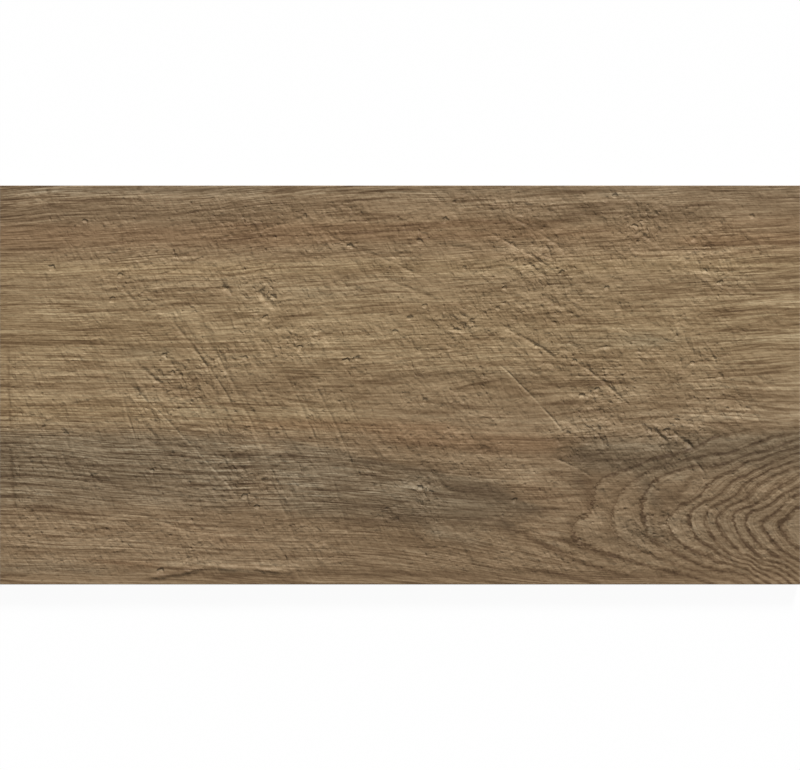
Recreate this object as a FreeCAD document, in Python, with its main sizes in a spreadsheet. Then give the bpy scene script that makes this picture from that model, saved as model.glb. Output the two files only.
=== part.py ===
import FreeCAD, Part
import os
import Sketcher

# Wood-look porcelain plank tile: one dry-pressed, fired and edge-ground piece of porcelain.
# It lies on its back with the printed face up. The origin is the middle of the back, where the
# crests of the keying ribs meet the floor. +X runs along the wood grain, +Z out of the face.

NODE = "plank_tile"
PARTS_FOLDER = "parts"
LEVEL_TOLERANCE = 1e-6

# Driving dimensions, in millimetres and degrees.
SIZES = {
    # the finished tile
    "tile_length": 598.0,
    "tile_width": 298.0,
    "tile_thickness": 9.0,
    # the small bevels ground on the edges of the face and left on the edges of the back
    "face_arris": 0.5,
    "back_arris": 0.8,
    # the keying on the back: square cells pressed in between raised ribs, for the adhesive to grip
    "cell_side": 43.0,
    "cell_corner_radius": 5.0,
    "cell_depth": 0.7,
    "wall_draft": 30.0,
    "rib_width": 4.5,
    "least_border": 8.0,
}

# What follows from the driving dimensions: the grid of cells, centred on the back.
PITCH = "(Sizes.cell_side + Sizes.rib_width)"
LAYOUT = {
    "cells_along": f"floor((Sizes.tile_length - 2 * Sizes.least_border + Sizes.rib_width) / {PITCH})",
    "cells_across": f"floor((Sizes.tile_width - 2 * Sizes.least_border + Sizes.rib_width) / {PITCH})",
}


def make_sheet(doc):
    """The driving dimensions, one named cell each."""
    sheet = doc.addObject("Spreadsheet::Sheet", "Sizes")
    for row, (name, value) in enumerate(SIZES.items(), start=1):
        sheet.set(f"A{row}", name)
        sheet.set(f"B{row}", str(value))
        sheet.setAlias(f"B{row}", name)
    doc.recompute()
    return sheet


def make_layout(doc):
    """How many whole cells fit on the back, each way, inside the plain border."""
    layout = doc.addObject("App::VarSet", "Layout")
    for name, formula in LAYOUT.items():
        layout.addProperty("App::PropertyInteger", name, "Back")
        layout.setExpression(name, formula)
    doc.recompute()
    return layout


def origin_plane(body, role):
    """One of the body's own origin planes or axes."""
    return next(feature for feature in body.Origin.OriginFeatures if feature.Role == role)


def new_sketch(body, name):
    """An empty sketch on the plane of the back, seen from the face side."""
    sketch = body.newObject("Sketcher::SketchObject", name)
    sketch.AttachmentSupport = [(origin_plane(body, "XY_Plane"), "")]
    sketch.MapMode = "FlatFace"
    return sketch


def bind(sketch, constraint, formula):
    """Adds a dimension to a sketch and ties its value to a formula of the sheet's cells."""
    index = sketch.addConstraint(constraint)
    sketch.setExpression(f"Constraints[{index}]", formula)


def draw_outline(sketch, length, width):
    """The tile's rectangle, centred on the origin."""
    half_length = length / 2
    half_width = width / 2
    corners = [
        FreeCAD.Vector(-half_length, -half_width, 0),
        FreeCAD.Vector(half_length, -half_width, 0),
        FreeCAD.Vector(half_length, half_width, 0),
        FreeCAD.Vector(-half_length, half_width, 0),
    ]
    for side in range(4):
        sketch.addGeometry(Part.LineSegment(corners[side], corners[(side + 1) % 4]))
    for side in range(4):
        sketch.addConstraint(Sketcher.Constraint("Coincident", side, 2, (side + 1) % 4, 1))
        direction = "Horizontal" if side % 2 == 0 else "Vertical"
        sketch.addConstraint(Sketcher.Constraint(direction, side))
    sketch.addConstraint(Sketcher.Constraint("Symmetric", 0, 1, 1, 2, -1, 1))
    bind(sketch, Sketcher.Constraint("DistanceX", 0, 1, 0, 2, length), "Sizes.tile_length")
    bind(sketch, Sketcher.Constraint("DistanceY", 1, 1, 1, 2, width), "Sizes.tile_width")


def spoke(centre, radius, degrees):
    """The point of a circle at an angle from +X."""
    turn = FreeCAD.Rotation(FreeCAD.Vector(0, 0, 1), degrees)
    return centre + turn.multVec(FreeCAD.Vector(radius, 0, 0))


def draw_cell(sketch, side, radius, first):
    """The mouth of one cell, a square with round corners, at the first place of the grid.

    first is the middle of that cell. The sketch runs anticlockwise from the corner nearest the
    grid's own corner: arc 0, straight 1, arc 2, straight 3 and so on.
    """
    reach = side / 2 - radius
    arcs = []
    for quarter in range(4):
        angle = 180 + 90 * quarter
        centre = spoke(first, reach * 2 ** 0.5, angle + 45)
        points = [spoke(centre, radius, angle + turned) for turned in (0, 45, 90)]
        arcs.append(Part.Arc(*points))
    for quarter in range(4):
        following = arcs[(quarter + 1) % 4]
        sketch.addGeometry(arcs[quarter])
        sketch.addGeometry(Part.LineSegment(arcs[quarter].EndPoint, following.StartPoint))
    for quarter in range(4):
        arc = 2 * quarter
        straight = arc + 1
        direction = "Horizontal" if quarter % 2 == 0 else "Vertical"
        sketch.addConstraint(Sketcher.Constraint("Tangent", arc, 2, straight, 1))
        sketch.addConstraint(Sketcher.Constraint("Tangent", straight, 2, (arc + 2) % 8, 1))
        sketch.addConstraint(Sketcher.Constraint(direction, straight))
    for arc in (2, 4):
        sketch.addConstraint(Sketcher.Constraint("Equal", 0, arc))
    between_centres = "(Sizes.cell_side - 2 * Sizes.cell_corner_radius)"
    out_along = f"((Layout.cells_along - 1) * {PITCH} + {between_centres}) / 2"
    out_across = f"((Layout.cells_across - 1) * {PITCH} + {between_centres}) / 2"
    corner = spoke(first, reach * 2 ** 0.5, 225)
    bind(sketch, Sketcher.Constraint("Radius", 0, radius), "Sizes.cell_corner_radius")
    bind(sketch, Sketcher.Constraint("DistanceX", 0, 3, 2, 3, 2 * reach), between_centres)
    bind(sketch, Sketcher.Constraint("DistanceY", 0, 3, 6, 3, 2 * reach), between_centres)
    bind(sketch, Sketcher.Constraint("DistanceX", 0, 3, -1, 1, -corner.x), out_along)
    bind(sketch, Sketcher.Constraint("DistanceY", 0, 3, -1, 1, -corner.y), out_across)


def edges_at(shape, height):
    """The names of the edges that lie level at one height."""
    found = []
    for number, edge in enumerate(shape.Edges, start=1):
        box = edge.BoundBox
        if max(abs(box.ZMin - height), abs(box.ZMax - height)) < LEVEL_TOLERANCE:
            found.append(f"Edge{number}")
    return found


def add_slab(doc, body, sheet):
    """The ground slab: the rectangle padded to the tile's thickness, with its edges bevelled."""
    outline = new_sketch(body, "TileOutline")
    draw_outline(outline, sheet.tile_length, sheet.tile_width)
    slab = body.newObject("PartDesign::Pad", "Slab")
    slab.Profile = outline
    slab.setExpression("Length", "Sizes.tile_thickness")
    doc.recompute()

    face_arris = body.newObject("PartDesign::Chamfer", "FaceArris")
    face_arris.Base = (slab, edges_at(slab.Shape, slab.Shape.BoundBox.ZMax))
    face_arris.setExpression("Size", "Sizes.face_arris")
    doc.recompute()

    back_arris = body.newObject("PartDesign::Chamfer", "BackArris")
    back_arris.Base = (face_arris, edges_at(face_arris.Shape, 0.0))
    back_arris.setExpression("Size", "Sizes.back_arris")
    doc.recompute()


def add_keying(doc, body, sheet, layout):
    """The keying cells: one drafted pocket in the back, repeated along and across the tile."""
    pitch = sheet.cell_side + sheet.rib_width
    first = FreeCAD.Vector(-(layout.cells_along - 1), -(layout.cells_across - 1), 0) * (pitch / 2)
    mouth = new_sketch(body, "CellMouth")
    draw_cell(mouth, sheet.cell_side, sheet.cell_corner_radius, first)
    cell = body.newObject("PartDesign::Pocket", "Cell")
    cell.Profile = mouth
    cell.Reversed = True
    cell.setExpression("Length", "Sizes.cell_depth")
    cell.setExpression("TaperAngle", "-Sizes.wall_draft")
    doc.recompute()

    grid = body.newObject("PartDesign::MultiTransform", "CellGrid")
    grid.Originals = [cell]
    body.Tip = grid
    steps = []
    for axis, count in (("X_Axis", "cells_along"), ("Y_Axis", "cells_across")):
        step = body.newObject("PartDesign::LinearPattern", f"Repeat_{count}")
        step.Direction = (origin_plane(body, axis), [""])
        step.setExpression("Occurrences", f"Layout.{count}")
        step.setExpression("Length", f"(Layout.{count} - 1) * {PITCH}")
        steps.append(step)
    grid.Transformations = steps
    body.Tip = grid
    doc.recompute()


def check(doc, node):
    """Stops the build where a feature failed or the solid isn't sound."""
    for item in doc.Objects:
        failed = {"Invalid", "Error"} & set(item.State)
        if failed:
            raise RuntimeError(f"{item.Label} failed: {item.State}")
    shape = node.Shape
    if shape.isNull() or not shape.isValid() or len(shape.Solids) != 1:
        raise RuntimeError(f"{node.Label} isn't one sound solid")


def main():
    doc = FreeCAD.newDocument("PlankTile")
    sheet = make_sheet(doc)
    layout = make_layout(doc)
    tile = doc.addObject("PartDesign::Body", "PlankTile")
    tile.Label = NODE
    tile.Placement = FreeCAD.Placement()
    add_slab(doc, tile, sheet)
    add_keying(doc, tile, sheet, layout)
    check(doc, tile)
    os.makedirs(PARTS_FOLDER, exist_ok=True)
    tile.Shape.exportStep(os.path.join(PARTS_FOLDER, f"{tile.Label}.step"))
    print(f"{tile.Label}: {layout.cells_along} by {layout.cells_across} cells, "
          f"{tile.Shape.Volume / 1000:.1f} cm3, {len(tile.Shape.Faces)} faces")


main()
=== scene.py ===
import math
from collections import namedtuple

import bmesh
import bpy
import numpy as np
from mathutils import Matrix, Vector


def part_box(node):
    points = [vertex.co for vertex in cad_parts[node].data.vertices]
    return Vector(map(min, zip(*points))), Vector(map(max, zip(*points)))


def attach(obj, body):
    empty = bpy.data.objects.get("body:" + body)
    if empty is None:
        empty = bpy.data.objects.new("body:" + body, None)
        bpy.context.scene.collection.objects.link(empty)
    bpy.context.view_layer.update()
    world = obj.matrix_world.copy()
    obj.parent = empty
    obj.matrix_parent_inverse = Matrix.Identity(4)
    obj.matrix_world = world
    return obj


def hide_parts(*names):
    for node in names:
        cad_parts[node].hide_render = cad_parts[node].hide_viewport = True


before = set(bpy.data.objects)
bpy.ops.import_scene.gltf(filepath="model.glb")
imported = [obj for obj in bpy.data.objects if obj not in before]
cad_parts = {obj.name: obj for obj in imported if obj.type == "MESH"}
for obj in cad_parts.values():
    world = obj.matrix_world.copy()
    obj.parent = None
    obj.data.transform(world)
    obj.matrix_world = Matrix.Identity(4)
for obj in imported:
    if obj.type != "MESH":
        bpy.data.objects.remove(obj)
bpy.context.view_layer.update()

# The tile as the frame gives it, in metres. Its mesh has corners at five heights: the back, the floors of
# the keying cells, the two ends of the ground edge and the face.
NODE = "plank_tile"
CAD_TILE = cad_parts[NODE]
LOW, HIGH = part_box(NODE)
LENGTH = HIGH.x - LOW.x
WIDTH = HIGH.y - LOW.y
LEVELS = np.unique([round(corner.co.z, 6) for corner in CAD_TILE.data.vertices])
EDGE_BOTTOM = LEVELS[-3]
EDGE_TOP = LEVELS[-2]
FACE_TOP = LEVELS[-1]
FACE_ARRIS = FACE_TOP - EDGE_TOP
# A millimetre, and the distance within which two places count as one.
MM = 0.001
NEAR = 1e-5

# Where the photograph shows the face, in its pixels. The print is laid out in these, u to the right and v
# down. A range of them runs from where something starts to where it is full, and an area has two ranges.
PHOTO_WIDTH = 800
PRINT_LEFT = -0.45
PRINT_RIGHT = 800.45
PRINT_TOP = 185.5
PRINT_BOTTOM = 584.6
Area = namedtuple("Area", "along down")

# The grid that carries the relief of the face.
COLUMNS = 350
ROWS = 250


# Helpers that the mesh and the print share.

def smooth_step(value, low, high):
    """0 before low, 1 past high and an S curve between them."""
    share = np.clip((value - low) / (high - low), 0.0, 1.0)
    return share * share * (3.0 - 2.0 * share)


def bell(value):
    """1 at 0, falling away to both sides within about two units."""
    return np.exp(-value ** 2)


def inside(area, u, v):
    """How far inside an area a point is, from 0 to 1."""
    return smooth_step(u, *area.along) * smooth_step(v, *area.down)


def hills(along, across, seed):
    """Smooth seeded noise from -1 to 1, with about one hill or hollow to a unit each way."""
    first_along = np.floor(along.min())
    first_across = np.floor(across.min())
    columns = int(along.max() - first_along) + 2
    rows = int(across.max() - first_across) + 2
    heights = np.random.default_rng(seed).uniform(-1.0, 1.0, (columns, rows))
    column = np.floor(along - first_along).astype(int)
    row = np.floor(across - first_across).astype(int)
    right = smooth_step(along - first_along - column, 0.0, 1.0)
    up = smooth_step(across - first_across - row, 0.0, 1.0)
    near = heights[column, row] * (1.0 - right) + heights[column + 1, row] * right
    far = heights[column, row + 1] * (1.0 - right) + heights[column + 1, row + 1] * right
    return near * (1.0 - up) + far * up


# The print: soft streaks of the wood, placed from the photograph. Tone is in natural logarithms of
# brightness. Warmth runs from grey at -1 to red brown at 1, gold is how far the brown leans to yellow, and
# lined is how much more than elsewhere the thin lines of the grain stand out.
Streak = namedtuple("Streak", "start end half_width tone warmth gold lined", defaults=4 * [0.0])

STREAKS = [Streak(*row) for row in [
    # the broad areas
    ((0, 335), (800, 322), 84, 0.17, 0, 0.8), ((0, 240), (260, 236), 15, 0, 0.6),
    ((0, 462), (215, 467), 34, -0.17, -0.8), ((300, 474), (470, 502), 28, -0.19, -0.8),
    ((600, 456), (800, 450), 22, -0.32, -0.8), ((640, 525), (800, 522), 42, -0.1, -0.4),
    ((612, 500), (668, 508), 40, -0.14), ((330, 222), (800, 236), 26, 0, 0.35, 0.2),
    ((280, 548), (560, 556), 20, -0.1, 0.1), ((725, 272), (800, 268), 46, 0.07),
    ((0, 250), (800, 262), 70, 0, 0.12),
    # the upper strip
    # The first streak below is a thin dark line along the rear edge of the face.
    ((0, 186), (800, 186), 1.3, -0.2, -0.3), ((0, 192), (250, 190), 5, -0.06, -0.5),
    ((430, 192), (800, 191), 5, 0.06, -0.2), ((600, 194), (665, 193), 6, 0.38),
    ((40, 197), (240, 194), 8, 0.28), ((0, 213), (200, 210), 8, -0.22, -0.2),
    ((0, 219), (45, 218), 3, -0.18), ((245, 207), (295, 206), 4, -0.16, -0.2),
    ((340, 205), (540, 202), 7, 0.02), ((260, 227), (430, 225), 2.6, -0.2, 0.5),
    ((430, 225), (550, 221), 2.6, -0.2, 0.5), ((550, 219), (700, 213), 6, -0.16, -0.3),
    ((560, 212), (640, 208), 3, -0.08, -0.4), ((720, 223), (800, 221), 6, 0.08, 0.3),
    ((700, 240), (800, 238), 5, -0.04, 0.7), ((300, 237), (560, 233), 6, -0.03, 0.4),
    ((0, 232), (360, 231), 8, -0.1, 0.2), ((400, 211), (550, 209), 8, 0.11),
    ((265, 214), (295, 213), 7, -0.14), ((205, 213), (245, 212), 6, 0.12),
    ((755, 196), (800, 195), 6, -0.12), ((655, 197), (695, 196), 5, -0.14),
    ((155, 232), (195, 232), 6, -0.1), ((320, 232), (345, 232), 7, -0.1),
    ((460, 232), (540, 231), 8, -0.13), ((660, 224), (695, 222), 12, -0.12),
    # the pale middle
    ((240, 259), (800, 252), 4, 0.07, 0.2), ((400, 250), (485, 248), 8, -0.13),
    ((515, 250), (585, 249), 7, 0.13), ((765, 268), (800, 267), 8, -0.1),
    ((670, 251), (800, 249), 8, 0.13), ((755, 304), (800, 303), 8, 0.24),
    ((160, 304), (195, 321), 9, 0.14), ((160, 286), (195, 286), 7, 0.14),
    ((355, 286), (395, 286), 8, 0.2), ((55, 304), (95, 304), 7, 0.14),
    ((660, 322), (695, 321), 7, -0.16), ((660, 358), (692, 357), 7, -0.12),
    ((310, 358), (345, 357), 7, 0.18), ((160, 358), (190, 358), 6, -0.12),
    ((0, 322), (90, 322), 6, -0.1), ((455, 376), (490, 375), 6, -0.12),
    ((460, 395), (495, 394), 7, 0.16), ((0, 411), (40, 412), 8, 0.22),
    ((0, 269), (730, 265), 9, 0.14, 0, 0.4), ((100, 272), (250, 270), 7, 0.12, 0.2),
    ((420, 283), (530, 277), 3, 0.11, 0.1), ((520, 287), (570, 284), 4, -0.12, -0.35),
    ((300, 294), (360, 291), 6, -0.04, -0.4), ((245, 287), (305, 287), 8, 0.3),
    ((320, 318), (385, 321), 9, 0.12, 0.1), ((0, 303), (80, 303), 3, -0.11),
    ((380, 308), (455, 306), 4, -0.09, 0.2), ((405, 322), (445, 321), 7, -0.12),
    ((520, 319), (590, 317), 4, -0.09, 0.1), ((690, 302), (800, 300), 3, 0.1, 0.1),
    ((690, 312), (800, 310), 3, -0.06, 0.2), ((0, 339), (90, 340), 3, -0.12),
    ((0, 341), (30, 341), 7, -0.1), ((265, 340), (295, 340), 8, -0.12),
    ((460, 341), (530, 339), 9, -0.11), ((130, 352), (165, 353), 7, -0.05, -0.5),
    ((575, 343), (650, 340), 9, -0.06, -0.45), ((650, 341), (800, 337), 8, 0.14, -0.3),
    ((0, 358), (140, 358), 7, 0.19), ((210, 358), (390, 356), 8, 0.19),
    ((135, 374), (250, 378), 5, -0.05, -0.3), ((310, 376), (350, 375), 5, -0.12),
    ((260, 394), (345, 396), 8, -0.14), ((705, 358), (745, 357), 7, -0.12),
    ((705, 377), (745, 376), 7, 0.07), ((565, 376), (600, 375), 6, -0.12),
    ((560, 395), (620, 393), 7, 0.2), ((662, 394), (695, 393), 8, -0.28),
    ((140, 394), (190, 396), 7, 0.1), ((475, 418), (590, 427), 11, 0.22),
    ((160, 388), (340, 390), 4, -0.13), ((0, 384), (62, 388), 3, -0.16),
    ((400, 376), (525, 372), 8, -0.17, -0.3), ((500, 382), (660, 380), 4, -0.1, -0.1),
    ((700, 384), (800, 378), 12, 0.15, -0.1), ((0, 397), (150, 399), 9, 0.16),
    ((190, 411), (345, 413), 8, 0.15, -0.3), ((540, 412), (640, 410), 3, -0.08, -0.1),
    ((650, 429), (700, 425), 8, 0.22), ((705, 417), (800, 411), 8, 0.15),
    ((0, 418), (250, 422), 3, 0.04), ((0, 410), (330, 416), 16, 0, 0, 0.4),
    # the grey band and the red brown above it
    ((260, 424), (420, 428), 7, -0.08, 0.8), ((400, 436), (545, 446), 12, -0.04, 0.9),
    ((0, 452), (70, 453), 5, -0.1, -0.8), ((0, 437), (200, 441), 6, -0.12, -0.3),
    ((0, 424), (250, 428), 5, 0.08), ((95, 468), (160, 469), 5, -0.1, -0.4),
    ((60, 447), (140, 448), 7, 0.1), ((255, 448), (295, 449), 8, -0.12),
    ((405, 448), (440, 450), 8, -0.24), ((205, 447), (245, 448), 7, 0.16),
    ((410, 466), (440, 468), 7, -0.12), ((360, 484), (395, 488), 7, 0.12),
    ((310, 482), (345, 487), 6, -0.12), ((512, 502), (545, 504), 8, -0.16),
    ((560, 450), (590, 452), 7, -0.18), ((610, 446), (650, 446), 6, 0.28),
    ((20, 484), (120, 488), 4, 0.08), ((300, 447), (430, 476), 4, -0.16, -0.6),
    ((430, 478), (530, 506), 5, -0.22, -0.6), ((265, 460), (330, 470), 7, 0.05, -0.7),
    ((260, 490), (300, 494), 6, -0.09), ((370, 518), (455, 526), 8, -0.14, 0.1),
    ((310, 508), (420, 522), 12, -0.14, -0.4), ((0, 500), (290, 504), 14, 0, -0.35),
    ((20, 455), (280, 466), 24, 0, -0.3), ((455, 484), (500, 488), 8, -0.22, -0.5),
    ((400, 505), (520, 514), 13, -0.09, -0.3), ((440, 528), (480, 530), 4, 0.1, -0.2),
    ((415, 486), (440, 493), 6, 0.2, -0.5), ((440, 536), (470, 543), 6, 0.2, -0.5),
    ((440, 450), (560, 456), 12, -0.11),
    # the lower left and the lower edge
    ((0, 530), (220, 536), 20, 0.02, 0.2), ((150, 520), (400, 522), 8, -0.19),
    ((405, 538), (450, 541), 8, -0.3), ((0, 575), (280, 575), 8, -0.17),
    ((450, 575), (690, 575), 8, -0.24), ((130, 506), (185, 520), 4, 0.1, 0.2),
    ((185, 528), (260, 546), 5, 0.1, 0.3), ((0, 514), (100, 516), 4, -0.1, 0.1),
    ((0, 484), (40, 485), 7, 0.12), ((160, 538), (195, 540), 8, -0.08),
    ((160, 520), (195, 521), 6, 0.12), ((315, 538), (400, 540), 8, -0.13),
    ((165, 556), (390, 556), 6, 0.13), ((510, 556), (545, 557), 7, 0.18),
    ((95, 561), (150, 564), 4, -0.16, 0.6), ((0, 568), (90, 570), 6, 0, -0.5),
    ((150, 578), (168, 576), 2.2, -0.36, -0.2), ((168, 576), (205, 569), 2.2, -0.3, -0.2),
    ((205, 569), (226, 571), 2.2, -0.26, -0.2), ((218, 576), (250, 574), 2.2, -0.3),
    ((250, 574), (330, 572), 2.2, -0.3, -0.1), ((330, 572), (430, 577), 2.4, -0.3, -0.1),
    ((155, 568), (176, 566), 3.5, 0.25), ((205, 563), (226, 566), 3.5, 0.16),
    ((420, 574), (740, 577), 3.5, -0.24),
    # where the thin lines stand out, and where they fade
    ((0, 203), (70, 200), 16, 0, 0, 0, 0.7), ((70, 196), (420, 194), 10, 0, 0, 0, 0.4),
    ((720, 192), (800, 190), 10, 0, 0, 0, 0.4), ((0, 310), (80, 330), 34, 0, 0, 0, 0.4),
    ((720, 260), (800, 330), 50, 0, 0, 0, 0.3), ((0, 447), (290, 460), 30, 0, 0, 0, 0.6),
    ((0, 495), (140, 505), 20, 0, 0, 0, 0.4), ((240, 480), (430, 500), 26, 0, 0, 0, 0.6),
    ((360, 410), (560, 415), 30, 0, 0, 0, -0.3),
    # round the tip of the figure
    ((530, 490), (585, 508), 13, -0.1, 0.2), ((535, 530), (560, 534), 6, 0.12, 0.3),
    ((588, 474), (622, 490), 9, -0.18), ((505, 526), (520, 530), 6, -0.2, -0.3),
    ((575, 528), (586, 534), 5, -0.2, -0.2), ((580, 486), (596, 498), 9, -0.46, -0.5),
    ((573, 523), (574, 536), 5, -0.28, -0.1), ((600, 548), (700, 564), 13, -0.14),
    ((600, 500), (650, 508), 9, 0.06, 0.3), ((570, 540), (645, 537), 8, -0.18, -0.2),
    ((575, 541), (612, 555), 6, -0.2, -0.1), ((646, 487), (654, 500), 7, -0.22, -0.5),
    ((530, 491), (574, 496), 14, 0.2, 0.2), ((490, 502), (526, 509), 7, -0.14, -0.3),
    ((507, 526), (513, 535), 5, -0.3, -0.2), ((524, 531), (568, 535), 6, 0.14, 0.1),
    ((505, 538), (640, 562), 14, 0.08), ((588, 484), (590, 503), 7, -0.2, 0.2),
    ((647, 518), (650, 526), 4, -0.28, -0.2), ((575, 454), (660, 462), 12, -0.14, -0.4),
    ((680, 452), (800, 438), 9, -0.04, -0.4),
    # inside the figure
    ((702, 473), (691, 480), 3, -0.3), ((688, 482), (679, 496), 3, -0.34),
    ((747, 493), (749, 499), 2.6, -0.3), ((692, 481), (699, 481), 3, 0.22),
    ((664, 478), (674, 478), 3, 0.25), ((661, 489), (671, 490), 3.5, 0.2),
    ((654, 530), (660, 530), 6, 0.2), ((760, 486), (772, 487), 2.6, 0.16),
]]

# How far streaks waver, in long and short waves, and fade past their ends, in pixels and as a share of
# their length.
STREAK_SWELL = 1.6
STREAK_RIPPLE = 0.8
STREAK_FADE = 10.0
STREAK_FADE_SHARE = 0.12

# The flow of the grain. Lines climb to the right in the upper part, sag a little in the lower left, droop
# towards the tip of the figure and plunge below it. They waver in long and short waves.
CLIMB = 0.045
CLIMB_DOWN = (440, 250)
SAG = 14.0
SAG_AREA = Area((-60, 300), (360, 430))
DROOP = 15.0
DROOP_ALONG = (230, 560)
DROOP_LEVEL = 482
DROOP_REACH = 58
PLUNGE = 42.0
PLUNGE_ALONG = (330, 700)
PLUNGE_LEVEL = 565
PLUNGE_REACH = 36
GRAIN_SWELL = 4.0
GRAIN_RIPPLE = 1.3

# The figure, where the saw cut across the growth rings: the dark line of each ring, from its upper end
# round its tip to its lower end, outermost first.
RINGS = [
    [(800, 427), (780, 429), (757, 429), (745, 431), (732, 434), (720, 436), (708, 441), (697, 447),
     (685, 452), (665, 457), (640, 465), (615, 474), (601, 481), (596, 495), (591, 512), (578, 521),
     (572, 530), (576, 538), (585, 545), (607, 553), (630, 560), (660, 569), (690, 576)],
    [(800, 433), (785, 435), (773, 437), (763, 441), (752, 445), (740, 450), (728, 454), (711, 455),
     (697, 458), (675, 464), (650, 471), (632, 483), (618, 500), (612, 520), (618, 535), (632, 545),
     (645, 551), (655, 555), (668, 560), (683, 566), (702, 572)],
    [(800, 439), (790, 442), (778, 447), (768, 451), (757, 453), (745, 456), (735, 460), (725, 464),
     (711, 468), (698, 466), (680, 470), (668, 474), (655, 481), (647, 492), (642, 504), (643, 515),
     (646, 527), (650, 538), (660, 544), (668, 549), (676, 552), (684, 557), (692, 561), (703, 566),
     (718, 571)],
    [(800, 447), (790, 450), (778, 453), (768, 456), (757, 460), (748, 462), (740, 467), (731, 472),
     (720, 477), (714, 481), (710, 484), (706, 489), (700, 496), (692, 501), (684, 504), (676, 510),
     (671, 516), (668, 524), (671, 532), (677, 539), (685, 545), (692, 549), (699, 552), (712, 558),
     (730, 564)],
    [(800, 453), (790, 456), (778, 461), (767, 466), (757, 470), (747, 476), (737, 479), (731, 483),
     (726, 490), (720, 495), (711, 500), (702, 504), (694, 509), (690, 516), (690, 526), (695, 535),
     (701, 541), (711, 547), (719, 553), (730, 559), (750, 565)],
    [(800, 460), (790, 463), (780, 467), (770, 470), (760, 476), (750, 481), (742, 489), (736, 496),
     (728, 500), (720, 504), (713, 507), (708, 512), (706, 520), (709, 529), (714, 538), (720, 545),
     (727, 552), (735, 557), (755, 565)],
    [(800, 467), (790, 469), (780, 474), (770, 479), (760, 484), (753, 491), (748, 497), (740, 502),
     (730, 506), (722, 512), (717, 519), (720, 528), (727, 539), (736, 548), (746, 555), (772, 566)],
    [(800, 475), (792, 481), (780, 487), (770, 494), (762, 500), (752, 506), (742, 509), (736, 513),
     (735, 523), (738, 531), (742, 539), (751, 549), (760, 556), (772, 562), (787, 566)],
    [(800, 487), (790, 492), (780, 497), (770, 504), (762, 508), (753, 511), (747, 519), (748, 528),
     (753, 536), (758, 542), (766, 549), (777, 556), (791, 562)],
    [(800, 494), (793, 497), (787, 502), (782, 507), (777, 512), (772, 516), (765, 520), (764, 527),
     (768, 534), (774, 542), (781, 549), (790, 556), (800, 561)],
    [(800, 507), (793, 511), (789, 516), (782, 521), (780, 526), (784, 534), (791, 542), (800, 548)],
]
# How dark the line of each ring is, outermost first, on the upper flank and round the tip, and half the
# width of a line: in pixels where there is room, and from least to most in shares of a ring.
FLANK_STRENGTHS = [0.7, 0.9, 0.75, 0.75, 0.8, 0.8, 0.75, 0.8, 0.85, 0.9, 0.9]
TIP_STRENGTHS = [0.9, 0.3, 0.8, 0.8, 0.9, 0.9, 0.8, 0.9, 0.9, 1.0, 1.0]
RING_LINE = 3.1
RING_LINE_SHARES = (0.02, 0.34)
# Outside its outermost ring the field of the figure falls away to these places, which lie one ring out.
RING_OUTSIDE = [
    (800, 412), (720, 424), (640, 448), (580, 470), (556, 500), (545, 530), (556, 556), (600, 574),
]
# Where the figure shows, by ring and by area, its flank, its lower part with wider and darker lines, and
# the levels between which its lines shake most.
FIGURE_RINGS = (-0.7, 0.0)
FIGURE = Area((535, 600), (415, 440))
FLANK = Area((650, 710), (505, 480))
LOWER_DOWN = (535, 555)
LOWER_WIDER = 0.2
LOWER_DARKER = 0.05
SHAKE_BELOW = (465, 510)
SHAKE_ABOVE = (560, 530)
LEAST_SHAKE = 0.2
MORE_SHAKE = 0.4
# The thin sheet that is bent through the rings: the pixels to its unit of length, and how far it may slip.
SHEET_UNIT = 100.0
SHEET_SLIP = 1e-4

# The rough-sawn relief. A scratch is a shallow groove, or a ridge where its depth is negative: its ends,
# half its width, its depth in millimetres, how much paler it is or, where negative, how much darker, which
# on grooves is painted shade and on the printed lines is print, and how far its middle bows to the right of
# the way it runs. Those of one set lie apart.
Scratch = namedtuple("Scratch", "start end half_width depth pale bow", defaults=2 * [0.0])

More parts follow.
